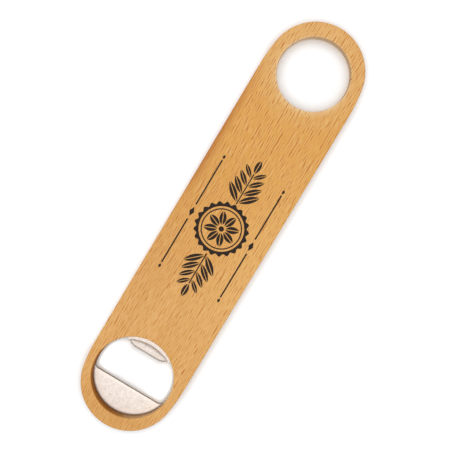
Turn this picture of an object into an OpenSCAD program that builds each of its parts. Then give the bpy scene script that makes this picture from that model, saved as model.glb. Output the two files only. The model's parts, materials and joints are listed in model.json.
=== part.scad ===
// Paddle bottle opener: a flat beech board with a finger hole at its tail and a stamped steel
// insert bonded into the back of its head. The origin is the centre of the back face,
// +X runs along the board to the finger hole and +Z points out of the front face.

/* [Board] */
// Length of the board from end to end
board_l = 180; // [150:1:220]
// Width across the straight sides
board_w = 40; // [38:0.5:48]
// Thickness of the board
board_t = 9; // [8:0.25:14]
// How much smaller than half the width the round of each end is
nose_inset = 0.7; // [0.2:0.1:2]
// Radius of the slow curve that leads each straight side into the round end
shoulder_r = 60; // [40:1:120]
// Width of the eased edge around the faces and the holes
edge_ease = 0.3; // [0.2:0.1:1]

/* [Finger hole] */
// Diameter of the finger hole
finger_d = 28.8; // [18:0.2:31]
// Wood left between the finger hole and the tail end
tail_rim = 6; // [4.5:0.1:12]

/* [Opener hole] */
// Diameter of the hole in the front of the head
opener_d = 32.6; // [30:0.2:33]
// Wood left between the opener hole and the head end
head_rim = 5.3; // [4.5:0.1:10]
// Width of the ledge that the insert is bonded to
ledge_w = 1.7; // [1.2:0.1:2]
// Thickness of the adhesive film on the ledge
glue_t = 0.2; // [0.1:0.05:0.3]
// How far the adhesive stays back from the edge of the ledge
glue_setback = 0.3; // [0.1:0.05:0.6]

/* [Insert] */
// Thickness of the steel
plate_t = 1.8; // [1.2:0.1:3]
// How far the lowest point of the insert stays inside the back face
back_gap = 0.1; // [0.05:0.05:0.5]
// Play between the rim of the insert and the wood around it
rim_gap = 0.1; // [0.05:0.05:0.25]
// How far the ring of the insert shows inside the opener hole
ring_show = 0.4; // [0.1:0.1:0.8]
// Distance from the middle of the opener hole back to the straight fulcrum edge
fulcrum_back = 5.2; // [3:0.1:8]
// Radius of the corners at the two ends of the fulcrum edge
fulcrum_corner_r = 1.6; // [0.5:0.1:3]

/* [Lip] */
// Distance from the middle of the opener hole forward to the front edge of the lip
lip_front = 9.7; // [8:0.1:11.5]
// Length of the straight front edge of the lip
lip_edge_l = 13.5; // [9:0.1:15]
// Angle that the root of the lip spans about the middle of the hole
lip_root_angle = 80; // [70:1:96]
// Distance from the front edge of the lip to the top of the pressed step
step_rise = 3.8; // [2:0.1:4]
// Radius of the pressed step
step_r = 18.7; // [16:0.1:24]
// How far the tip of the lip is pressed down towards the back
lip_drop = 0.7; // [0.3:0.05:1.1]

/* [Hidden] */
$fn = 96;
// Length by which a cutter runs past the face that it opens
cut_over = 1;

half_w = board_w / 2;
nose_r = half_w - nose_inset;
nose_x = board_l / 2 - nose_r;
// How far one arc runs past the arc that it leads into, so that the two cross cleanly
blend_dip = 0.02;
// The shoulder arc leaves the straight side in line with it and ends just under the round of the nose
shoulder_run = sqrt(pow(shoulder_r - nose_r + blend_dip, 2) - pow(shoulder_r - half_w, 2));
shoulder_x = nose_x - shoulder_run;
shoulder_y = half_w - shoulder_r;

finger_x = board_l / 2 - tail_rim - finger_d / 2;
opener_r = opener_d / 2;
opener_x = -(board_l / 2 - head_rim - opener_r);

// The insert is stacked up from the back face: the pressed tip, the plate, the adhesive, the ledge
tip_z = back_gap;
plate_z = tip_z + lip_drop;
plate_top = plate_z + plate_t;
seat_z = plate_top + glue_t;
seat_r = opener_r + ledge_w;
disc_r = seat_r - rim_gap;

window_r = opener_r - ring_show;
// Centre of the corner round at an end of the fulcrum edge, which touches the edge and the ring
corner_x = fulcrum_corner_r - fulcrum_back;
corner_y = sqrt(pow(window_r - fulcrum_corner_r + blend_dip, 2) - pow(corner_x, 2));
corner_angle = atan2(corner_y, corner_x);
step_x = lip_front + step_rise - step_r;

// Section of the board from its middle out to a given reach, eased at both faces
module eased_section(reach) {
    polygon([
        [0, 0],
        [reach - edge_ease, 0],
        [reach, edge_ease],
        [reach, board_t - edge_ease],
        [reach - edge_ease, board_t],
        [0, board_t]
    ]);
}

// Straight part of one half of the board, from the middle to where the shoulders start
module straight_half() {
    rotate([90, 0, 90])
        linear_extrude(shoulder_x) {
            eased_section(half_w);
            mirror([1, 0]) eased_section(half_w);
        }
}

// Part of one end between the middle line, the straight side and the round nose
module shoulder() {
    intersection() {
        translate([shoulder_x, shoulder_y, 0])
            rotate_extrude(angle = 90)
                eased_section(shoulder_r);
        translate([0, 0, -cut_over])
            linear_extrude(board_t + 2 * cut_over)
                polygon([
                    [shoulder_x, 0],
                    [nose_x, 0],
                    [nose_x + shoulder_run, shoulder_r - half_w],
                    [shoulder_x, shoulder_r - half_w]
                ]);
    }
}

// One half of the board. The round of the nose reaches back under the shoulders and ties them in
module half_board() {
    straight_half();
    shoulder();
    mirror([0, 1, 0]) shoulder();
    translate([nose_x, 0, 0]) rotate_extrude() eased_section(nose_r);
}

// Cutter for a hole through the board, eased at both faces
module eased_hole(r) {
    mouth = r + edge_ease + cut_over;
    rotate_extrude()
        polygon([
            [0, -cut_over],
            [mouth, -cut_over],
            [r, edge_ease],
            [r, board_t - edge_ease],
            [mouth, board_t + cut_over],
            [0, board_t + cut_over]
        ]);
}

// Cutter for the opener hole with the counterbore behind it
module opener_cut() {
    mouth = opener_r + edge_ease + cut_over;
    back_mouth = seat_r + edge_ease + cut_over;
    rotate_extrude()
        polygon([
            [0, -cut_over],
            [back_mouth, -cut_over],
            [seat_r, edge_ease],
            [seat_r, seat_z],
            [opener_r, seat_z],
            [opener_r, board_t - edge_ease],
            [mouth, board_t + cut_over],
            [0, board_t + cut_over]
        ]);
}

module beech_paddle() {
    color("burlywood")
        difference() {
            union() {
                half_board();
                mirror([1, 0, 0]) half_board();
            }
            translate([finger_x, 0, 0]) eased_hole(finger_d / 2);
            translate([opener_x, 0, 0]) opener_cut();
        }
}

// Round corner of the window at one end of the fulcrum edge
module window_corner() {
    translate([corner_x, corner_y])
        intersection() {
            circle(fulcrum_corner_r);
            translate([-2 * fulcrum_corner_r, 0]) square(4 * fulcrum_corner_r);
        }
}

// Opening of the insert between the fulcrum edge and the ring, before the lip is added
module window() {
    reach = 2 * window_r;
    intersection() {
        circle(window_r);
        polygon([
            [0, 0],
            [reach * cos(corner_angle), reach * sin(corner_angle)],
            [reach, reach],
            [reach, -reach],
            [reach * cos(corner_angle), -reach * sin(corner_angle)]
        ]);
    }
    polygon([
        [0, 0],
        [corner_x, corner_y],
        [-fulcrum_back, corner_y],
        [-fulcrum_back, -corner_y],
        [corner_x, -corner_y]
    ]);
    window_corner();
    mirror([0, 1]) window_corner();
}

// Outline of the lip, from its front edge out to the middle of the bonded ring
module lip() {
    edge_y = lip_edge_l / 2;
    root_x = window_r * cos(lip_root_angle / 2);
    root_y = window_r * sin(lip_root_angle / 2);
    // The slanted sides run on past the root, so that they end inside the ring
    far_x = 2 * root_x - lip_front;
    far_y = 2 * root_y - edge_y;
    intersection() {
        circle(opener_r + ledge_w / 2);
        polygon([
            [lip_front, -edge_y],
            [lip_front, edge_y],
            [far_x, far_y],
            [2 * seat_r, far_y],
            [2 * seat_r, -far_y],
            [far_x, -far_y]
        ]);
    }
}

// Everything in front of the pressed step
module step_front() {
    translate([step_x, 0]) circle(step_r);
}

module opener_insert() {
    color("silver")
        translate([opener_x, 0, 0]) {
            translate([0, 0, plate_z])
                linear_extrude(plate_t) {
                    difference() {
                        circle(disc_r);
                        window();
                    }
                    difference() {
                        lip();
                        step_front();
                    }
                }
            translate([0, 0, tip_z])
                linear_extrude(plate_t)
                    intersection() {
                        lip();
                        step_front();
                    }
        }
}

module glue_ring() {
    color("khaki")
        translate([opener_x, 0, plate_top])
            linear_extrude(glue_t)
                difference() {
                    circle(disc_r);
                    circle(opener_r + glue_setback);
                }
}

beech_paddle();
opener_insert();
glue_ring();
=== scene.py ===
import json
import math

import bmesh
import bpy
from mathutils import Matrix, Vector
from mathutils.geometry import intersect_line_sphere_2d


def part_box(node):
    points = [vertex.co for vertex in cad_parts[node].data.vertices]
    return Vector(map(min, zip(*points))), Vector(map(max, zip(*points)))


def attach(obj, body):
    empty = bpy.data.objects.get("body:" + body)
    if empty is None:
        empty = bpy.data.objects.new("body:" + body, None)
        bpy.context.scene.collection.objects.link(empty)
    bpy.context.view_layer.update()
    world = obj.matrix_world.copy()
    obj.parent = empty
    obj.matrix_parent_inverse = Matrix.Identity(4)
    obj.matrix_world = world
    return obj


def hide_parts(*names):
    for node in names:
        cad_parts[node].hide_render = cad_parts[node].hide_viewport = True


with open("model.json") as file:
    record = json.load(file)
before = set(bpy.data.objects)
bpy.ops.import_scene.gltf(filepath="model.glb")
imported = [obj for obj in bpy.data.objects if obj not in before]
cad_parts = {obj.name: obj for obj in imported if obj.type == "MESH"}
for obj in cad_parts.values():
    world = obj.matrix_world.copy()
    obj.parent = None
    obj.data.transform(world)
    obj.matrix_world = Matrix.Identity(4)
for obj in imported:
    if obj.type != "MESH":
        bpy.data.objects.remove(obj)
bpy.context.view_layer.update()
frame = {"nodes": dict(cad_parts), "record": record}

# Beech paddle
# One flat-sawn board of straight-grained beech, cut to a round-ended paddle and bored at both ends.
# A counterbore in the back of the head seats the insert. The edges are eased with paper and sealed.
half_l, half_w, board_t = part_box("beech_paddle")[1]
insert_low, insert_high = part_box("opener_insert")
finger_hole = next(m for m in frame["record"]["mounts"] if m["name"] == "finger_hole")
edge_ease = 0.0003
ease_segments = 3
sharp_fold = math.radians(60)
weld = 1e-6

nose_inset = 0.0007
nose_r = half_w - nose_inset
nose_x = half_l - nose_r
nose_steps = 60
shoulder_r = 0.060
shoulder_y = half_w - shoulder_r
shoulder_run = math.sqrt((shoulder_r - nose_r) ** 2 - shoulder_y ** 2)
shoulder_x = nose_x - shoulder_run
shoulder_steps = 10
nose_turn = math.atan2(-shoulder_y, shoulder_run)
shoulder_turn = math.pi / 2 - nose_turn

finger_x = finger_hole["pos_m"][0]
finger_r = finger_hole["dims"]["r_mm"] / 1000
opener_x = (insert_low.x + insert_high.x) / 2
opener_r = 0.0163
disc_r = (insert_high.x - insert_low.x) / 2
rim_gap = 0.0001
seat_r = disc_r + rim_gap
seat_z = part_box("glue_ring")[1].z
bore_steps = 120


def sweep(bm, start, centre, turn, steps):
    """Arc of edges from a vertex about a centre, seen from the front. Returns the vertex at its end."""
    swept = bmesh.ops.spin(
        bm, geom=[start], cent=centre, axis=(0, 0, 1), dvec=(0, 0, 0), angle=turn, steps=steps
    )
    return next(item for item in swept["geom_last"] if isinstance(item, bmesh.types.BMVert))


def draw_to(bm, start, point):
    """Straight edge from a vertex to a point. Returns the vertex at its end."""
    end = bmesh.ops.extrude_vert_indiv(bm, verts=[start])["verts"][0]
    end.co = point
    return end


def raise_walls(bm, edges, height):
    """Walls pulled up from a run of edges. Returns the run along their top and its vertices."""
    pulled = bmesh.ops.extrude_edge_only(bm, edges=edges)["geom"]
    top_verts = {item for item in pulled if isinstance(item, bmesh.types.BMVert)}
    bmesh.ops.translate(bm, verts=list(top_verts), vec=(0, 0, height))
    top_edges = [
        item for item in pulled
        if isinstance(item, bmesh.types.BMEdge) and set(item.verts) <= top_verts
    ]
    return top_edges, list(top_verts)


def mirror_half(bm):
    """Adds the other half of a shape that is drawn on one side of the middle line, and closes it."""
    everything = bm.verts[:] + bm.edges[:] + bm.faces[:]
    bmesh.ops.mirror(bm, geom=everything, matrix=Matrix.Identity(4), merge_dist=weld, axis="Y")
    bmesh.ops.remove_doubles(bm, verts=bm.verts[:], dist=weld)
    bmesh.ops.recalc_face_normals(bm, faces=bm.faces[:])


def shade_rounds(bm):
    """Curved faces shade smoothly, and the flat faces stay flat up to their edges."""
    level = 0.99
    for face in bm.faces:
        face.smooth = abs(face.normal.z) < level


def make_piece(bm, name, material):
    """Turns a finished bmesh into a piece that rides on the board."""
    mesh = bpy.data.meshes.new(name)
    bm.to_mesh(mesh)
    bm.free()
    mesh.materials.append(material)
    piece = bpy.data.objects.new(name, mesh)
    bpy.context.scene.collection.objects.link(piece)
    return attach(piece, "root")


# The back face of one half is drawn as a single run of edges: round the outside, then back along
# the middle line and round the two bores.
paddle_bm = bmesh.new()
end = paddle_bm.verts.new((half_l, 0, 0))
end = sweep(paddle_bm, end, (nose_x, 0, 0), nose_turn, nose_steps)
end = sweep(paddle_bm, end, (shoulder_x, shoulder_y, 0), shoulder_turn, shoulder_steps)
end = draw_to(paddle_bm, end, (-shoulder_x, half_w, 0))
end = sweep(paddle_bm, end, (-shoulder_x, shoulder_y, 0), shoulder_turn, shoulder_steps)
end = sweep(paddle_bm, end, (-nose_x, 0, 0), nose_turn, nose_steps)
end.co.y = 0
end = draw_to(paddle_bm, end, (opener_x - seat_r, 0, 0))
end = sweep(paddle_bm, end, (opener_x, 0, 0), -math.pi, bore_steps)
end.co.y = 0
end = draw_to(paddle_bm, end, (finger_x - finger_r, 0, 0))
end = sweep(paddle_bm, end, (finger_x, 0, 0), -math.pi, bore_steps)
end.co.y = 0
end = draw_to(paddle_bm, end, (half_l, 0, 0))
bmesh.ops.remove_doubles(paddle_bm, verts=paddle_bm.verts[:], dist=weld)
bmesh.ops.edgeloop_fill(paddle_bm, edges=paddle_bm.edges[:])

# The walls are pulled up from it, with a ledge in the opener hole, and the front face closes them.
opener_centre = Vector((opener_x, 0, 0))
wall_edges = [e for e in paddle_bm.edges if max(v.co.y for v in e.verts) > weld]
seat_edges = [
    e for e in wall_edges
    if all(abs((v.co - opener_centre).length - seat_r) < weld for v in e.verts)
]
outer_edges = [e for e in wall_edges if e not in seat_edges]
front_edges, _ = raise_walls(paddle_bm, outer_edges, board_t)
ledge_edges, _ = raise_walls(paddle_bm, seat_edges, seat_z)
bore_edges, bore_verts = raise_walls(paddle_bm, ledge_edges, 0)
bmesh.ops.scale(
    paddle_bm, verts=bore_verts, vec=(opener_r / seat_r, opener_r / seat_r, 1),
    space=Matrix.Translation(-opener_centre),
)
mouth_edges, _ = raise_walls(paddle_bm, bore_edges, board_t - seat_z)
front_edges += mouth_edges
middle_verts = [v for v in paddle_bm.verts if v.co.z > board_t - weld and abs(v.co.y) < weld]
middle_verts.sort(key=lambda v: v.co.x)
for near, far in zip(middle_verts[0::2], middle_verts[1::2]):
    front_edges.append(paddle_bm.edges.new((near, far)))
bmesh.ops.edgeloop_fill(paddle_bm, edges=front_edges)
mirror_half(paddle_bm)

arrises = [
    e for e in paddle_bm.edges
    if e.calc_face_angle(0) > sharp_fold and abs(e.verts[0].co.z - seat_z) > weld
]
bmesh.ops.bevel(
    paddle_bm, geom=arrises, offset=edge_ease, offset_type="OFFSET", affect="EDGES",
    segments=ease_segments, profile=0.5, material=-1,
)
shade_rounds(paddle_bm)


def screen_colour(red, green, blue):
    """Colour given as it looks on a screen, 0 to 255, turned into what a shader takes."""
    shares = [c / 255 for c in (red, green, blue)]
    return tuple(s / 12.92 if s < 0.04 else ((s + 0.055) / 1.055) ** 2.4 for s in shares) + (1,)


def finish_node(tree, kind, sockets, **settings):
    """One node of a finish. Its sockets take a value or another node's output."""
    node = tree.nodes.new("ShaderNode" + kind)
    for name, value in settings.items():
        setattr(node, name, value)
    for name, value in sockets.items():
        if isinstance(value, bpy.types.NodeSocket):
            tree.links.new(value, node.inputs[name])
        else:
            node.inputs[name].default_value = value
    return node


def own_place(tree):
    """Place on the piece itself, in metres from its origin."""
    return finish_node(tree, "TexCoord", {}).outputs["Object"]


def split(tree, place):
    """The X, Y and Z of a place."""
    return finish_node(tree, "SeparateXYZ", {"Vector": place}).outputs


def cloud(tree, place, mark, shift=0.0, detail=1.0, roughness=0.5):
    """Soft noise from 0 to 1, in marks of a size along, across and through the board."""
    scale = tuple(1 / size for size in mark)
    in_marks = {"Vector": place, "Location": (shift, shift, shift), "Scale": scale}
    spot = finish_node(tree, "Mapping", in_marks).outputs["Vector"]
    sockets = {"Vector": spot, "Scale": 1.0, "Detail": detail, "Roughness": roughness}
    return finish_node(tree, "TexNoise", sockets).outputs["Fac"]


def fade(tree, value, start, stop, first=0.0, last=1.0):
    """Smooth change from one level to another as a value goes from start to stop."""
    sockets = {"Value": value, 1: start, 2: stop, 3: first, 4: last}
    return finish_node(tree, "MapRange", sockets, interpolation_type="SMOOTHSTEP").outputs["Result"]


def work_out(tree, how, first, second=0.0):
    """One sum on values that change over the surface."""
    return finish_node(tree, "Math", {0: first, 1: second}, operation=how).outputs["Value"]


def overlap(tree, *shares):
    """Share of the surface that several shares have in common."""
    common = shares[0]
    for share in shares[1:]:
        common = work_out(tree, "MULTIPLY", common, share)
    return common


def either(tree, first, second):
    """Share of the surface that the stronger of two shares takes."""
    return work_out(tree, "MAXIMUM", first, second)


def tint(tree, share, under, over):
    """One colour laid over another by a share that changes over the surface."""
    sockets = {0: share, 6: under, 7: over}
    return finish_node(tree, "Mix", sockets, data_type="RGBA").outputs[2]


def off_centre(tree, place, x):
    """Distance of a place from the upright middle line of a bore."""
    flat = finish_node(tree, "VectorMath", {0: place, 1: (1, 1, 0)}, operation="MULTIPLY")
    sockets = {0: flat.outputs["Vector"], 1: (x, 0, 0)}
    return finish_node(tree, "VectorMath", sockets, operation="DISTANCE").outputs["Value"]


def dash_rows(tree, place, row_h, dash_l, line, faint, strong):
    """Dark dashes in rows along the grain, and the pale line that borders each of them."""
    row_stagger = 7.31
    border = 0.45
    on_row = split(tree, place)
    rows = work_out(tree, "DIVIDE", on_row["Y"], row_h)
    off_line = work_out(tree, "SUBTRACT", work_out(tree, "FRACT", rows), 0.5)
    off_line = work_out(tree, "ABSOLUTE", off_line)
    run = work_out(tree, "DIVIDE", on_row["X"], dash_l)
    row_start = work_out(tree, "MULTIPLY", work_out(tree, "FLOOR", rows), row_stagger)
    lane = finish_node(tree, "CombineXYZ", {"X": run, "Y": row_start}).outputs["Vector"]
    level = fade(tree, cloud(tree, lane, (1, 1, 1)), faint, strong)
    dark = overlap(tree, level, fade(tree, off_line, 0.0, line, first=1.0, last=0.0))
    lit = overlap(tree, level, fade(tree, off_line, line, border))
    return dark, lit


def new_finish(name):
    """Empty material, and the tree that its nodes go in."""
    finish = bpy.data.materials.new(name)
    finish.use_nodes = True
    finish.node_tree.nodes.clear()
    return finish, finish.node_tree


def lay_finish(tree, sockets):
    """The shader of a finish, with what feeds its sockets, and the output after it."""
    shader = finish_node(tree, "BsdfPrincipled", sockets)
    finish_node(tree, "OutputMaterial", {"Surface": shader.outputs["BSDF"]})


# The figure of the wood. Its grain wanders, ripples and crowds sideways, and leans through the board.
figure = bpy.data.node_groups.new("beech_figure", "ShaderNodeTree")
figure.interface.new_socket("Place", in_out="INPUT", socket_type="NodeSocketVector")
for mark in ("Tone", "Fibre", "Rays", "Pale"):
    figure.interface.new_socket(mark, in_out="OUTPUT", socket_type="NodeSocketFloat")
board_place = figure.nodes.new("NodeGroupInput").outputs["Place"]
wander = cloud(figure, board_place, (0.050, 0.030, 0.012))
ripple = cloud(figure, board_place, (0.0025, 0.0030, 0.0030))
crowding = cloud(figure, board_place, (0.030, 0.0022, 0.012), shift=11.0)
depth = split(figure, board_place)["Z"]
aside = 0.0
for cause, reach in ((wander, 0.0030), (ripple, 0.00030), (crowding, 0.0015), (depth, 0.45)):
    aside = work_out(figure, "ADD", aside, work_out(figure, "MULTIPLY", cause, reach))
aside = finish_node(figure, "CombineXYZ", {"Y": aside}).outputs["Vector"]
grain_place = finish_node(figure, "VectorMath", {0: board_place, 1: aside}, operation="ADD").outputs["Vector"]
tone = cloud(figure, grain_place, (0.090, 0.006, 0.008), detail=3.0)
fibre = cloud(figure, grain_place, (0.0034, 0.00045, 0.0009), shift=7.0, detail=2.0, roughness=0.6)
fine_rays, fine_border = dash_rows(
    figure, grain_place, row_h=0.00090, dash_l=0.0031, line=0.26, faint=0.40, strong=0.68
)
long_rays, long_border = dash_rows(
    figure, grain_place, row_h=0.0023, dash_l=0.0058, line=0.12, faint=0.54, strong=0.74
)
rays = either(figure, fine_rays, long_rays)
pale = either(figure, fine_border, long_border)
figure_out = figure.nodes.new("NodeGroupOutput")
for mark, value in (("Tone", tone), ("Fibre", fibre), ("Rays", rays), ("Pale", pale)):
    figure.links.new(value, figure_out.inputs[mark])

# Fresh wood, yellower from the middle of the board to the finger hole
beech, wood = new_finish("sealed_beech")
wood_place = own_place(wood)
wood_marks = finish_node(wood, "Group", {"Place": wood_place}, node_tree=figure).outputs
at = split(wood, wood_place)
heart = fade(wood, wood_marks["Tone"], 0.3, 0.7)
wood_colour = tint(wood, heart, screen_colour(228, 172, 102), screen_colour(235, 182, 114))
golden = overlap(
    wood,
    fade(wood, at["X"], -0.045, 0.015, last=0.7),
    fade(wood, at["X"], 0.086, 0.045, first=0.15),
)
wood_colour = tint(wood, golden, wood_colour, screen_colour(226, 165, 73))
thread = fade(wood, wood_marks["Fibre"], 0.35, 0.72, last=0.65)
wood_colour = tint(wood, thread, wood_colour, screen_colour(214, 147, 56))
lit_thread = overlap(
    wood, wood_marks["Pale"], fade(wood, at["X"], -0.040, 0.030, first=0.7, last=0.85)
)
wood_colour = tint(wood, lit_thread, wood_colour, screen_colour(236, 188, 118))

# One long side is brighter, the other is duller with a darker orange band along its edge, and the head is
# dull
bright_side = overlap(
    wood,
    fade(wood, at["Y"], 0.0, -0.016, last=0.4),
    fade(wood, at["X"], 0.055, -0.010),
    fade(wood, at["X"], -0.055, -0.025, first=0.35),
)
wood_colour = tint(wood, bright_side, wood_colour, screen_colour(240, 190, 118))
dull_side = overlap(
    wood,
    fade(wood, at["Y"], 0.0, 0.018, last=0.24),
    fade(wood, at["X"], 0.040, 0.010),
    fade(wood, at["X"], -0.060, -0.020),
)
dull = either(wood, dull_side, fade(wood, at["X"], -0.074, -0.086, last=0.27))
wood_colour = tint(wood, dull, wood_colour, screen_colour(206, 146, 76))
# A darker orange band along the edge of the duller long side
dark_edge_band = overlap(
    wood,
    fade(wood, at["X"], -0.004, 0.020),
    fade(wood, at["X"], 0.078, 0.030),
    fade(wood, at["Y"], 0.0160, 0.0213),
)
wood_colour = tint(wood, dark_edge_band, wood_colour, screen_colour(184, 108, 30))

# The finger hole is sanded and handled pale all round, with painted glare, a painted rim highlight and a raw
# bored wall
finger_mouth = (finger_x, 0, board_t)
finger_reach = finish_node(
    wood, "VectorMath", {0: wood_place, 1: finger_mouth}, operation="DISTANCE"
).outputs["Value"]
# Paler band near the hole: partly sanded wood, partly painted glare from the bright hole
sanding_and_glare = overlap(
    wood,
    fade(wood, finger_reach, finger_r + 0.0030, finger_r + 0.0003),
    fade(wood, at["X"], finger_x + 0.010, finger_x - 0.012, first=0.05, last=0.5),
)
wood_colour = tint(wood, sanding_and_glare, wood_colour, screen_colour(238, 200, 148))
handled = overlap(
    wood,
    fade(wood, finger_reach, finger_r + 0.0095, finger_r + 0.0030),
    fade(wood, at["Y"], -0.012, 0.010, first=0.11, last=0.20),
)
wood_colour = tint(wood, handled, wood_colour, screen_colour(234, 200, 138))
off_finger = off_centre(wood, wood_place, finger_x)
# Painted highlight on the eased rim, strongest towards the head and on the left long side
rim_highlight_side = either(
    wood,
    fade(wood, at["X"], finger_x + 0.008, finger_x - 0.008, first=0.4, last=0.9),
    fade(wood, at["Y"], 0.006, 0.013),
)
rim_highlight = overlap(wood, fade(wood, off_finger, finger_r + 0.0007, finger_r + 0.0003), rim_highlight_side)
wood_colour = tint(wood, rim_highlight, wood_colour, screen_colour(242, 204, 150))
bored = fade(wood, off_finger, finger_r + 0.00010, finger_r + 0.00002)
# Painted light: the bored wall is lighter on the left long side, which faces away from the soft box
bored_lit_side = fade(wood, at["Y"], 0.004, 0.012)
bored_colour = tint(wood, bored_lit_side, screen_colour(218, 192, 160), screen_colour(244, 218, 184))
wood_colour = tint(wood, overlap(wood, bored, 0.9), wood_colour, bored_colour)

# Ray flecks, fainter on the bored wall
ray_share = overlap(
    wood,
    wood_marks["Rays"],
    fade(wood, at["X"], -0.040, 0.030, first=0.9, last=1.2),
    fade(wood, bored, 0.0, 1.0, first=1.0, last=0.35),
)
wood_colour = tint(wood, ray_share, wood_colour, screen_colour(194, 112, 32))

# The opener hole has a painted highlight on its rim at one side, and is scorched by the cutter and painted in
# shade at the other
off_opener = off_centre(wood, wood_place, opener_x)
# Painted highlight on the eased rim of the right long side, which faces the soft box
opener_rim_highlight = overlap(
    wood,
    fade(wood, off_opener, opener_r + 0.0005, opener_r + 0.0002),
    fade(wood, at["Y"], -0.006, -0.013, last=0.8),
)
wood_colour = tint(wood, opener_rim_highlight, wood_colour, screen_colour(242, 184, 104))
# Darker rim on the left long side: partly scorch from the cutter, partly painted shade where it faces away
# from the soft box
scorch_and_shade_rim = overlap(
    wood,
    fade(wood, off_opener, opener_r + 0.00035, opener_r + 0.0001),
    fade(wood, at["Y"], -0.008, 0.004, last=0.8),
    fade(wood, at["X"], opener_x + 0.010, opener_x + 0.002),
)
wood_colour = tint(wood, scorch_and_shade_rim, wood_colour, screen_colour(186, 106, 26))
# Painted light: the whole opener wall is lightened to stand in for light it does not get
opener_wall = fade(wood, off_opener, opener_r + 0.0001, opener_r + 0.00002)
wood_colour = tint(wood, opener_wall, wood_colour, screen_colour(248, 194, 116))
# Away from the right side the wall is darker and more orange: partly scorch from the cutter, partly painted
# shade
scorch_and_shade_wall = overlap(wood, opener_wall, fade(wood, at["Y"], -0.014, 0.002, last=0.92))
wood_colour = tint(wood, scorch_and_shade_wall, wood_colour, screen_colour(198, 126, 40))

# The seal is a soft satin, and the bored wall and the scorched, shaded part of the opener wall are left dry
raw = either(wood, bored, scorch_and_shade_wall)
wood_gloss = fade(wood, wood_marks["Fibre"], 0.2, 0.8, first=0.40, last=0.56)
wood_gloss = either(wood, wood_gloss, overlap(wood, raw, 0.95))
wood_bump = finish_node(
    wood, "Bump", {"Height": wood_marks["Fibre"], "Strength": 0.10, "Distance": 0.00003}
)
lay_finish(wood, {
    "Base Color": wood_colour, "Roughness": wood_gloss, "Specular IOR Level": 0.2,
    "Normal": wood_bump.outputs["Normal"],
})

paddle = make_piece(paddle_bm, "beech_paddle_sealed", beech)
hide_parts("beech_paddle")

# Printed ornament
# One pass of dark brown ink, pad printed on the front of the handle: a crown cap with a rosette
# between two leafy sprigs, framed by thin rules. The ink is a thin film that lets a little grain show.
ink_t = 0.00002
cap_r = 0.0104
cap_inner_r = 0.0089
cap_flutes = 21
flute_depth = 0.0005
rosette_r = 0.0081
rosette_inner_r = 0.0076
ring_steps = 96
flute_steps = 10
petals = 8
petal_l = 0.0054
petal_w = 0.0025
petal_foot_r = 0.0016
eye_d = 0.0021
eye_corners = 24
leaf_pairs = 4
first_leaf_l = 0.0084
leaf_shrink = 0.0009
leaf_slimness = 0.28
leaf_lean = math.radians(48)
leaf_start = 0.0122
leaf_pitch = 0.0036
leaf_aside = 0.0004
leaf_steps = 10
midrib_share = 0.06
tip_leaf_l = 0.0056
tip_leaf_w = 0.0022
tip_leaf_x = 0.0250
stem_l = 0.0136
stem_w = 0.0005
stem_x = 0.0180
rule_l = 0.0200
rule_w = 0.0006
rule_x = 0.0132
rule_y = 0.0134
diamond_l = 0.0040
diamond_w = 0.0020
end_dot_l = 0.0020
end_dot_w = 0.0012
end_dot_x = 0.0246


def add_to(bm, part):
    """Adds a part's mesh to a larger one."""
    mesh = bpy.data.meshes.new("part")
    part.to_mesh(mesh)
    part.free()
    bm.from_mesh(mesh)
    bpy.data.meshes.remove(mesh)


def ink_leaf(bm, length, width, place, turn):
    """Pointed leaf in two halves with a bare midrib between them, with its stalk end at a place."""
    bow_r = (length ** 2 + width ** 2) / (4 * width)
    bow_turn = 2 * math.asin(length / (2 * bow_r))
    rib = width * midrib_share
    leaf = bmesh.new()
    for side in (1, -1):
        stalk = leaf.verts.new((0, side * rib, 0))
        bow_centre = (length / 2, side * (rib + width / 2 - bow_r), 0)
        tip = sweep(leaf, stalk, bow_centre, -side * bow_turn, leaf_steps)
        leaf.edges.new((tip, stalk))
    bmesh.ops.edgeloop_fill(leaf, edges=leaf.edges[:])
    bmesh.ops.rotate(leaf, verts=leaf.verts[:], cent=(0, 0, 0), matrix=Matrix.Rotation(turn, 3, "Z"))
    bmesh.ops.translate(leaf, verts=leaf.verts[:], vec=place)
    add_to(bm, leaf)


def ink_ring(bm, outer, inner, flutes=0):
    """Ring about the middle of the handle, with a fluted outer edge where it has flutes."""
    around = max(ring_steps, flutes * flute_steps)
    ring = bmesh.new()
    bmesh.ops.create_circle(ring, segments=around, radius=outer)
    for vert in ring.verts:
        wave = math.cos(flutes * math.atan2(vert.co.y, vert.co.x)) if flutes else 0
        vert.co *= 1 + wave * flute_depth / outer
    bmesh.ops.create_circle(ring, segments=around, radius=inner)
    bmesh.ops.bridge_loops(ring, edges=ring.edges[:])
    add_to(bm, ring)


def set_mark(bm, mark, length, width, place):
    """Stretches a mark of unit size, moves it to its place and adds it to the print."""
    bmesh.ops.scale(mark, verts=mark.verts[:], vec=(length, width, 1))
    bmesh.ops.translate(mark, verts=mark.verts[:], vec=place)
    add_to(bm, mark)


def ink_dot(bm, length, width, place, corners=4):
    """Small solid mark with a number of corners, as long and wide as given."""
    dot = bmesh.new()
    bmesh.ops.create_circle(dot, segments=corners, radius=0.5, cap_ends=True)
    set_mark(bm, dot, length, width, place)


def ink_rule(bm, length, width, place):
    """Straight rule along the board."""
    rule = bmesh.new()
    bmesh.ops.create_grid(rule, x_segments=1, y_segments=1, size=0.5)
    set_mark(bm, rule, length, width, place)


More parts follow.
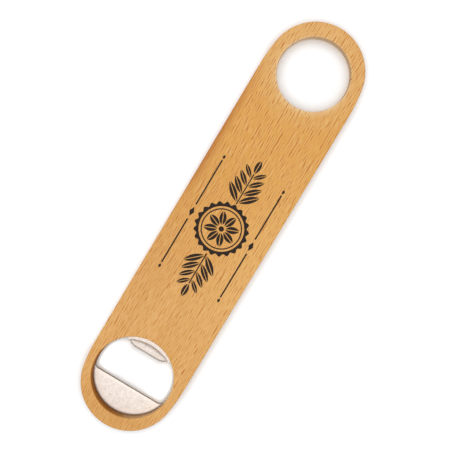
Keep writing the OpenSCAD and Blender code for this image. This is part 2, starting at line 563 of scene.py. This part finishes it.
ink_bm = bmesh.new()
ink_ring(ink_bm, cap_r, cap_inner_r, flutes=cap_flutes)
ink_ring(ink_bm, rosette_r, rosette_inner_r)
for petal in range(petals):
    petal_turn = 2 * math.pi * (petal + 0.5) / petals
    petal_foot = Vector((math.cos(petal_turn), math.sin(petal_turn), 0)) * petal_foot_r
    ink_leaf(ink_bm, petal_l, petal_w, petal_foot, petal_turn)
ink_dot(ink_bm, eye_d, eye_d, (0, 0, 0), corners=eye_corners)
for way in (1, -1):
    sprig_turn = 0 if way > 0 else math.pi
    for pair in range(leaf_pairs):
        leaf_l = first_leaf_l - leaf_shrink * pair
        leaf_w = leaf_l * leaf_slimness
        for side in (1, -1):
            leaf_foot = (way * (leaf_start + leaf_pitch * pair), side * leaf_aside, 0)
            ink_leaf(ink_bm, leaf_l, leaf_w, leaf_foot, sprig_turn + side * way * leaf_lean)
    ink_leaf(ink_bm, tip_leaf_l, tip_leaf_w, (way * tip_leaf_x, 0, 0), sprig_turn)
    ink_rule(ink_bm, stem_l, stem_w, (way * stem_x, 0, 0))
for side in (1, -1):
    ink_dot(ink_bm, diamond_l, diamond_w, (0, side * rule_y, 0))
    for way in (1, -1):
        ink_rule(ink_bm, rule_l, rule_w, (way * rule_x, side * rule_y, 0))
        ink_dot(ink_bm, end_dot_l, end_dot_w, (way * end_dot_x, side * rule_y, 0))
bmesh.ops.translate(ink_bm, verts=ink_bm.verts[:], vec=(0, 0, board_t))
ink_film = bmesh.ops.extrude_face_region(ink_bm, geom=ink_bm.faces[:])["geom"]
ink_top = [item for item in ink_film if isinstance(item, bmesh.types.BMVert)]
bmesh.ops.translate(ink_bm, verts=ink_top, vec=(0, 0, ink_t))
bmesh.ops.recalc_face_normals(ink_bm, faces=ink_bm.faces[:])

ink, print_tree = new_finish("printed_ink")
ink_marks = finish_node(print_tree, "Group", {"Place": own_place(print_tree)}, node_tree=figure).outputs
ink_thin = fade(print_tree, ink_marks["Fibre"], 0.4, 0.75, last=0.5)
lay_finish(print_tree, {
    "Base Color": tint(print_tree, ink_thin, screen_colour(46, 35, 29), screen_colour(66, 51, 42)),
    "Roughness": fade(print_tree, ink_marks["Rays"], 0.0, 1.0, first=0.55, last=0.68),
    "Specular IOR Level": 0.08,
})
make_piece(ink_bm, "printed_ornament", ink)

# Glue ring
# Thin ring of clear amber adhesive that bonds the rim of the insert to the ledge in the head.
# It is squeezed to an even film and hides between the wood and the steel.
adhesive, glue = new_finish("cured_adhesive")
glue_flow = cloud(glue, own_place(glue), (0.002, 0.002, 0.002), detail=3.0)
lay_finish(glue, {
    "Base Color": tint(glue, glue_flow, screen_colour(196, 158, 92), screen_colour(226, 196, 140)),
    "Roughness": fade(glue, glue_flow, 0.2, 0.8, first=0.18, last=0.34),
})
glue_ring = frame["nodes"]["glue_ring"]
glue_ring.data.materials.clear()
glue_ring.data.materials.append(adhesive)

# Opener insert
# Disc stamped from 1.8 mm steel sheet: a window between a straight fulcrum edge and a lip whose tip
# is pressed down behind a curved step. It is tumbled to a satin finish, which rounds its edges.
plate_t = 0.0018
plate_top = insert_high.z
lip_top = insert_low.z + plate_t
ring_show = 0.0004
ring_r = opener_r - ring_show
ring_arc_steps = 40
fulcrum_back = 0.0052
corner_r = 0.0016
corner_steps = 10
corner_x = corner_r - fulcrum_back
corner_y = math.sqrt((ring_r - corner_r) ** 2 - corner_x ** 2)
corner_turn = math.atan2(corner_y, corner_x)
lip_front = 0.0097
lip_edge_l = 0.0135
lip_half = lip_edge_l / 2
lip_root_angle = math.radians(80)
root_turn = lip_root_angle / 2
lip_corner_r = 0.0050
lip_corner_steps = 6
step_r = 0.0187
step_rise = 0.0041
step_top_x = lip_front + step_rise
step_x = step_top_x - step_r
step_depth = 0.0015
step_foot_run = 0.0027
step_steps = 12
# The pressed step as a run of curves: how far each has come from the top one to the foot, and
# its share of the drop
step_curves = (
    (0, 0), (0.06, 0.06), (0.15, 0.26), (0.28, 0.56), (0.42, 0.78), (0.65, 0.90), (1, 0.96)
)
roll_foot_run = 0.0024
roll_run = 0.0007
roll_drop = 0.0004
roll_steps = 5
root_ease = 0.0004
root_segments = 4
root_fold = math.radians(25)
sheared_r = 0.00012
sheared_segments = 3
sheared_fold = math.radians(35)

lip_corner = Vector((lip_front, lip_half))
lip_root = Vector((math.cos(root_turn), math.sin(root_turn))) * ring_r
step_top = next(
    hit for hit in intersect_line_sphere_2d(lip_corner, lip_root, Vector((step_x, 0)), step_r, True)
    if hit is not None
)
side_way = (lip_root - lip_corner).normalized()
step_foot = lip_corner + side_way * step_foot_run
roll_foot = lip_corner + side_way * roll_foot_run
inward = Vector((side_way.y, -side_way.x))
corner_bend = math.atan2(side_way.x, side_way.y)
corner_run = lip_corner_r * math.tan(corner_bend / 2)
bend_centre = (lip_front + lip_corner_r, lip_half - corner_run, 0)


def step_curve(come, drop):
    """One curve of the pressed step: its end on the slanted side of the lip, its centre and its radius."""
    side = step_top.lerp(step_foot, come)
    middle_x = step_top_x - come * step_depth
    centre_x = (side.length_squared - middle_x ** 2) / (2 * (side.x - middle_x))
    curve_z = plate_top + (lip_top - plate_top) * drop
    return Vector((side.x, side.y, curve_z)), Vector((centre_x, 0, curve_z)), middle_x - centre_x


def draw_step_curve(bm, start, centre_x):
    """Draws a curve of the pressed step from the slanted side of the lip to the middle line."""
    turn = -math.atan2(start.co.y, start.co.x - centre_x)
    end = sweep(bm, start, (centre_x, 0, 0), turn, step_steps)
    end.co.y = 0
    return end


# The front of the flat plate, for one half of it
insert_bm = bmesh.new()
end = insert_bm.verts.new((disc_r, 0, plate_top))
end = sweep(insert_bm, end, (0, 0, 0), math.pi, bore_steps)
end.co.y = 0
end = draw_to(insert_bm, end, (-fulcrum_back, 0, plate_top))
end = draw_to(insert_bm, end, (-fulcrum_back, corner_y, plate_top))
end = sweep(insert_bm, end, (corner_x, corner_y, 0), corner_turn - math.pi, corner_steps)
end = sweep(insert_bm, end, (0, 0, 0), root_turn - corner_turn, ring_arc_steps)
end = draw_to(insert_bm, end, (step_top.x, step_top.y, plate_top))
end = draw_step_curve(insert_bm, end, step_x)
end = draw_to(insert_bm, end, (disc_r, 0, plate_top))
bmesh.ops.remove_doubles(insert_bm, verts=insert_bm.verts[:], dist=weld)
bmesh.ops.edgeloop_fill(insert_bm, edges=insert_bm.edges[:])

# The front of the lip, as curves that lead down the step and over the rolled tip
for come, drop in step_curves[1:]:
    curve_end, curve_centre, _ = step_curve(come, drop)
    draw_step_curve(insert_bm, insert_bm.verts.new(curve_end), curve_centre.x)
lip_edges = []
for roll in range(roll_steps + 1):
    roll_turn = math.pi / 2 * roll / roll_steps
    back = roll_run * (1 - math.sin(roll_turn))
    roll_z = lip_top - roll_drop * (1 - math.cos(roll_turn))
    drawn = set(insert_bm.edges)
    bend_start = lip_corner + side_way * corner_run + inward * back
    end = insert_bm.verts.new((roll_foot.x, roll_foot.y, lip_top))
    end = draw_to(insert_bm, end, (bend_start.x, bend_start.y, roll_z))
    end = sweep(insert_bm, end, bend_centre, corner_bend, lip_corner_steps)
    end = draw_to(insert_bm, end, (lip_front + back, 0, roll_z))
    bmesh.ops.subdivide_edges(insert_bm, edges=end.link_edges[:], cuts=lip_corner_steps - 1)
    lip_edges.append([e for e in insert_bm.edges if e not in drawn])
curve_edges = []
for come, drop in step_curves:
    _, curve_centre, curve_r = step_curve(come, drop)
    curve_edges.append([
        e for e in insert_bm.edges
        if all(abs((v.co - curve_centre).length - curve_r) < weld for v in e.verts)
    ])
curve_edges += lip_edges
for upper, lower in zip(curve_edges, curve_edges[1:]):
    bmesh.ops.bridge_loops(insert_bm, edges=upper + lower)
bmesh.ops.remove_doubles(insert_bm, verts=insert_bm.verts[:], dist=weld)
bmesh.ops.recalc_face_normals(insert_bm, faces=insert_bm.faces[:])

# The thickness of the sheet, the other half, and the rounds of the tumbled edges
sheet = bmesh.ops.extrude_face_region(insert_bm, geom=insert_bm.faces[:])["geom"]
sheet_back = [item for item in sheet if isinstance(item, bmesh.types.BMVert)]
bmesh.ops.translate(insert_bm, verts=sheet_back, vec=(0, 0, -plate_t))
for vert in sheet_back:
    vert.co.z = max(vert.co.z, insert_low.z)
middle_faces = [f for f in insert_bm.faces if all(abs(v.co.y) < weld for v in f.verts)]
bmesh.ops.delete(insert_bm, geom=middle_faces, context="FACES")
mirror_half(insert_bm)
upright = [
    e for e in insert_bm.edges
    if e.calc_face_angle(0) > root_fold
    and (e.verts[0].co - e.verts[1].co).xy.length < weld
]
bmesh.ops.bevel(
    insert_bm, geom=upright, offset=root_ease, offset_type="OFFSET", affect="EDGES",
    segments=root_segments, profile=0.5, material=-1, clamp_overlap=True,
)
rims = [
    e for e in insert_bm.edges
    if e.calc_face_angle(0) > sheared_fold
    and all(v.co.x < 0 or v.co.xy.length > ring_r - weld for v in e.verts)
]
bmesh.ops.bevel(
    insert_bm, geom=rims, offset=sheared_r, offset_type="OFFSET", affect="EDGES",
    segments=sheared_segments, profile=0.5, material=-1,
)
bmesh.ops.translate(insert_bm, verts=insert_bm.verts[:], vec=(opener_x, 0, 0))
bmesh.ops.recalc_face_normals(insert_bm, faces=insert_bm.faces[:])
shade_rounds(insert_bm)

# Hazy steel with bright and dark specks from the tumbling
steel, metal = new_finish("tumbled_steel")
steel_place = own_place(metal)
on_steel = split(metal, steel_place)
haze = cloud(metal, steel_place, (0.0022, 0.0022, 0.0022), detail=4.0, roughness=0.6)
specks = cloud(metal, steel_place, (0.0007, 0.0007, 0.0007), shift=3.0)
peening = cloud(metal, steel_place, (0.0003, 0.0003, 0.0003), shift=5.0, detail=2.0)
haze_share = fade(metal, haze, 0.3, 0.7)
steel_colour = tint(metal, haze_share, screen_colour(186, 176, 168), screen_colour(205, 195, 187))
bright_specks = fade(metal, specks, 0.60, 0.72, last=0.8)
steel_colour = tint(metal, bright_specks, steel_colour, screen_colour(218, 209, 201))
dark_specks = fade(metal, specks, 0.36, 0.26, last=0.55)
steel_colour = tint(metal, dark_specks, steel_colour, screen_colour(150, 138, 129))

# Painted highlight on the sloped faces, most of them on the pressed step, and painted shade on the lip on
# both sides of the step
steel_facing = finish_node(metal, "NewGeometry", {}).outputs["Normal"]
upward = work_out(metal, "ABSOLUTE", split(metal, steel_facing)["Z"])
pressed = overlap(metal, fade(metal, upward, 0.35, 0.60), fade(metal, upward, 0.99, 0.90))
steel_colour = tint(metal, pressed, steel_colour, screen_colour(240, 230, 220))
off_step = off_centre(metal, steel_place, opener_x + step_x)
# Painted shade on the lip: on the tip and on the crescent, on both sides of the step
tip_painted_shade = fade(metal, off_step, step_r - 0.0006, step_r - 0.0014, last=0.27)
crescent_painted_shade = fade(metal, off_step, step_r, step_r + 0.0004, last=0.14)
lip_painted_shade = overlap(
    metal,
    fade(metal, on_steel["X"], opener_x + 0.006, opener_x + 0.008),
    either(metal, tip_painted_shade, crescent_painted_shade),
)
steel_colour = tint(metal, lip_painted_shade, steel_colour, screen_colour(160, 149, 140))

# The plate has a painted highlight along its edges, painted shade against the wood, and a painted reflection
# of the wood at one side of the window
off_rim = off_centre(metal, steel_place, opener_x)
on_plate = fade(metal, on_steel["X"], opener_x - 0.003, opener_x - 0.005)
edge_highlight = either(
    metal,
    fade(metal, off_rim, opener_r - 0.0020, opener_r - 0.0009),
    fade(metal, on_steel["X"], opener_x - 0.0068, opener_x - 0.0056, last=0.6),
)
edge_highlight = overlap(metal, edge_highlight, on_plate)
steel_colour = tint(metal, edge_highlight, steel_colour, screen_colour(214, 204, 195))
# Painted shade: a dark strip on the plate at the foot of the wood wall, in place of the wall's shadow and
# dark reflection
wall_foot_shade = overlap(metal, fade(metal, off_rim, opener_r - 0.0008, opener_r, last=0.85), on_plate)
steel_colour = tint(metal, wall_foot_shade, steel_colour, screen_colour(96, 72, 52))
# Painted reflection and shade: the exposed ring on the left long side takes the brown of the shaded wood wall
wall_reflection = overlap(
    metal,
    fade(metal, off_rim, opener_r - 0.0009, opener_r - 0.0004),
    fade(metal, on_steel["Y"], 0.006, 0.012),
    fade(metal, on_steel["X"], opener_x + 0.0065, opener_x + 0.0025),
    fade(metal, on_steel["X"], opener_x - 0.0052, opener_x - 0.0040),
)
steel_colour = tint(metal, wall_reflection, steel_colour, screen_colour(140, 96, 58))
# Steep faces are dark brown: partly the rough sheared edge, partly painted shade and a painted reflection of
# the wood
sheared_and_shaded = fade(metal, upward, 0.20, 0.45, first=1.0, last=0.0)
steel_colour = tint(metal, sheared_and_shaded, steel_colour, screen_colour(126, 105, 86))

steel_gloss = fade(metal, haze, 0.2, 0.8, first=0.41, last=0.49)
steel_gloss = either(metal, steel_gloss, overlap(metal, pressed, 0.9))
steel_bump = finish_node(metal, "Bump", {"Height": peening, "Strength": 0.06, "Distance": 0.00002})
lay_finish(metal, {
    "Base Color": steel_colour, "Metallic": 1.0, "Roughness": steel_gloss,
    "Normal": steel_bump.outputs["Normal"],
})

insert = make_piece(insert_bm, "opener_insert_stamped", steel)
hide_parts("opener_insert")

# Studio floor
# A wide sheet of white paper that the opener lies on. Where it is seen it glows a little, so that it
# comes out plain white and keeps only the soft shadow at the foot of the board and in its holes.
# The glow is shaped by place and by nearness to the board, so the shade and light round the board are painted
# into it
floor_half = 3.0
floor_drop = 0.00005
shadow_reach = 0.006
floor_bm = bmesh.new()
bmesh.ops.create_grid(floor_bm, x_segments=2, y_segments=2, size=floor_half)
bmesh.ops.translate(floor_bm, verts=floor_bm.verts[:], vec=(0, 0, -floor_drop))
floor_mesh = bpy.data.meshes.new("studio_floor")
floor_bm.to_mesh(floor_mesh)
floor_bm.free()

floor_finish, paper = new_finish("white_sweep")
paper_place = own_place(paper)
spot = split(paper, paper_place)
off_side = work_out(paper, "ABSOLUTE", spot["Y"])
off_end = work_out(paper, "ABSOLUTE", spot["X"])
off_hole = off_centre(paper, paper_place, finger_x)
off_window = off_centre(paper, paper_place, opener_x)
openness = finish_node(paper, "AmbientOcclusion", {"Distance": shadow_reach}, samples=16).outputs["AO"]

# Painted shade: the glow drops as the board comes near, darkest at its foot, and is set by place in and round
# the finger hole
contact = overlap(
    paper,
    fade(paper, spot["X"], -0.086, -0.070, last=0.06),
    fade(paper, off_hole, finger_r, finger_r + 0.002),
)
in_hole = overlap(
    paper,
    fade(paper, spot["Y"], -0.004, 0.010, first=0.05, last=0.085),
    fade(paper, spot["X"], finger_x + 0.014, finger_x, first=0.5),
    fade(paper, off_hole, finger_r, finger_r - 0.0005),
)
open_glow = either(
    paper,
    fade(paper, off_hole, finger_r - 0.0100, finger_r - 0.0025, first=0.26, last=0.13),
    fade(paper, off_hole, finger_r, finger_r + 0.002, last=0.26),
)
glow = fade(paper, openness, 0.5, 1.0, first=either(paper, contact, in_hole), last=open_glow)

# Painted shadow: the glow is cut back by place under the lip and beside the fulcrum edge
lip_shade = overlap(
    paper,
    fade(paper, spot["X"], opener_x + 0.0068, opener_x + 0.0092),
    fade(paper, off_side, 0.0105, 0.0065),
)
chord_shade = overlap(
    paper,
    fade(paper, spot["X"], opener_x - 0.0035, opener_x - 0.0048),
    fade(paper, off_side, 0.0145, 0.0125),
)
shade = overlap(
    paper,
    either(paper, lip_shade, chord_shade),
    fade(paper, off_window, opener_r + 0.0004, opener_r - 0.0004),
)
glow = overlap(paper, glow, work_out(paper, "SUBTRACT", 1.0, shade))

# Painted light: the glow is raised by place at the sides of the window and outside the board
window_side = overlap(
    paper,
    fade(paper, off_window, opener_r - 0.0005, opener_r - 0.0021),
    fade(paper, off_side, 0.005, 0.010, last=0.55),
    fade(paper, spot["X"], opener_x - 0.0052, opener_x - 0.0022),
    fade(paper, spot["X"], opener_x + 0.012, opener_x + 0.004),
)
beyond_window = fade(paper, off_window, opener_r, opener_r + 0.0035)
near_end = fade(paper, off_end, 0.062, 0.074)
right_lift = fade(paper, near_end, 0.0, 1.0, first=0.09, last=0.13)
left_lift = fade(paper, near_end, 0.0, 1.0, first=0.15, last=0.02)
outside = overlap(
    paper,
    fade(paper, spot["Y"], -0.016, 0.016, first=right_lift, last=left_lift),
    beyond_window,
    fade(paper, off_hole, finger_r, finger_r + 0.004),
    fade(paper, spot["X"], -0.090, -0.078, first=0.3),
    fade(paper, spot["X"], 0.088, 0.074, first=0.5),
)
glow = work_out(paper, "ADD", glow, work_out(paper, "ADD", window_side, outside))

# The glow is only for the eye and for mirror images, and lights nothing else
rays_seen = finish_node(paper, "LightPath", {}).outputs
seen = work_out(paper, "ADD", rays_seen["Is Camera Ray"], rays_seen["Is Glossy Ray"])
seen = work_out(paper, "ADD", seen, rays_seen["Is Transmission Ray"])
# Painted warm shade near the board, in place of light bounced off the wood, and a cooler glow beyond the
# window
warm_shade = fade(paper, openness, 0.70, 0.35)
paper_colour = tint(paper, warm_shade, (0.92, 0.92, 0.92, 1), (0.92, 0.86, 0.80, 1))
lift_colour = tint(paper, beyond_window, (1, 1, 1, 1), (0.88, 1.03, 1.15, 1))
hole_share = fade(paper, off_hole, finger_r + 0.002, finger_r)
lift_colour = tint(paper, hole_share, lift_colour, (0.70, 1.08, 1.40, 1))
matt = finish_node(paper, "BsdfDiffuse", {"Color": paper_colour}).outputs["BSDF"]
lift = finish_node(paper, "Emission", {"Color": lift_colour, "Strength": overlap(paper, seen, glow)})
lifted = finish_node(paper, "AddShader", {0: matt, 1: lift.outputs["Emission"]})
finish_node(paper, "OutputMaterial", {"Surface": lifted.outputs["Shader"]})
floor_mesh.materials.append(floor_finish)
floor = bpy.data.objects.new("studio_floor", floor_mesh)
bpy.context.scene.collection.objects.link(floor)

# Studio light
# One large soft box hangs over the bench, a little towards the tail and the long left side, and a
# dim white tent fills in from all round.
tent = bpy.data.worlds.new("white_tent")
tent.use_nodes = True
cloth = tent.node_tree
cloth.nodes.clear()
tent_seen = finish_node(cloth, "LightPath", {}).outputs["Is Camera Ray"]
tent_level = fade(cloth, tent_seen, 0.0, 1.0, first=0.30)
tent_light = finish_node(cloth, "Background", {"Color": (1, 1, 1, 1), "Strength": tent_level})
finish_node(cloth, "OutputWorld", {"Surface": tent_light.outputs["Background"]})
bpy.context.scene.world = tent

soft_box = bpy.data.lights.new("soft_box", "AREA")
soft_box.shape = "RECTANGLE"
soft_box.size = 0.76
soft_box.size_y = 0.68
soft_box.energy = 5.75
soft_box_stand = bpy.data.objects.new("soft_box", soft_box)
soft_box_stand.location = (0.06, 0.07, 0.85)
bpy.context.scene.collection.objects.link(soft_box_stand)

# Camera
# It looks almost straight down on the front face, with the board turned so that its tail points up
# and to the right.
camera_data = bpy.data.cameras.new("camera")
camera_data.sensor_width = 36
camera_data.lens = 89.15
camera = bpy.data.objects.new("camera", camera_data)
camera_place = Vector((0.02950, 0.00262, 0.44210))
camera_target = Vector((0.002067, -0.000429, board_t))
board_turn = math.radians(59.108)
backward = (camera_place - camera_target).normalized()
along = (Vector((1, 0, 0)) - backward * backward.x).normalized()
across = backward.cross(along)
camera_right = along * math.cos(board_turn) - across * math.sin(board_turn)
camera_up = along * math.sin(board_turn) + across * math.cos(board_turn)
camera_axes = Matrix((camera_right, camera_up, backward)).transposed().to_4x4()
camera.matrix_world = Matrix.Translation(camera_place) @ camera_axes
bpy.context.scene.collection.objects.link(camera)
bpy.context.scene.camera = camera

bpy.context.scene.view_settings.view_transform = "Standard"
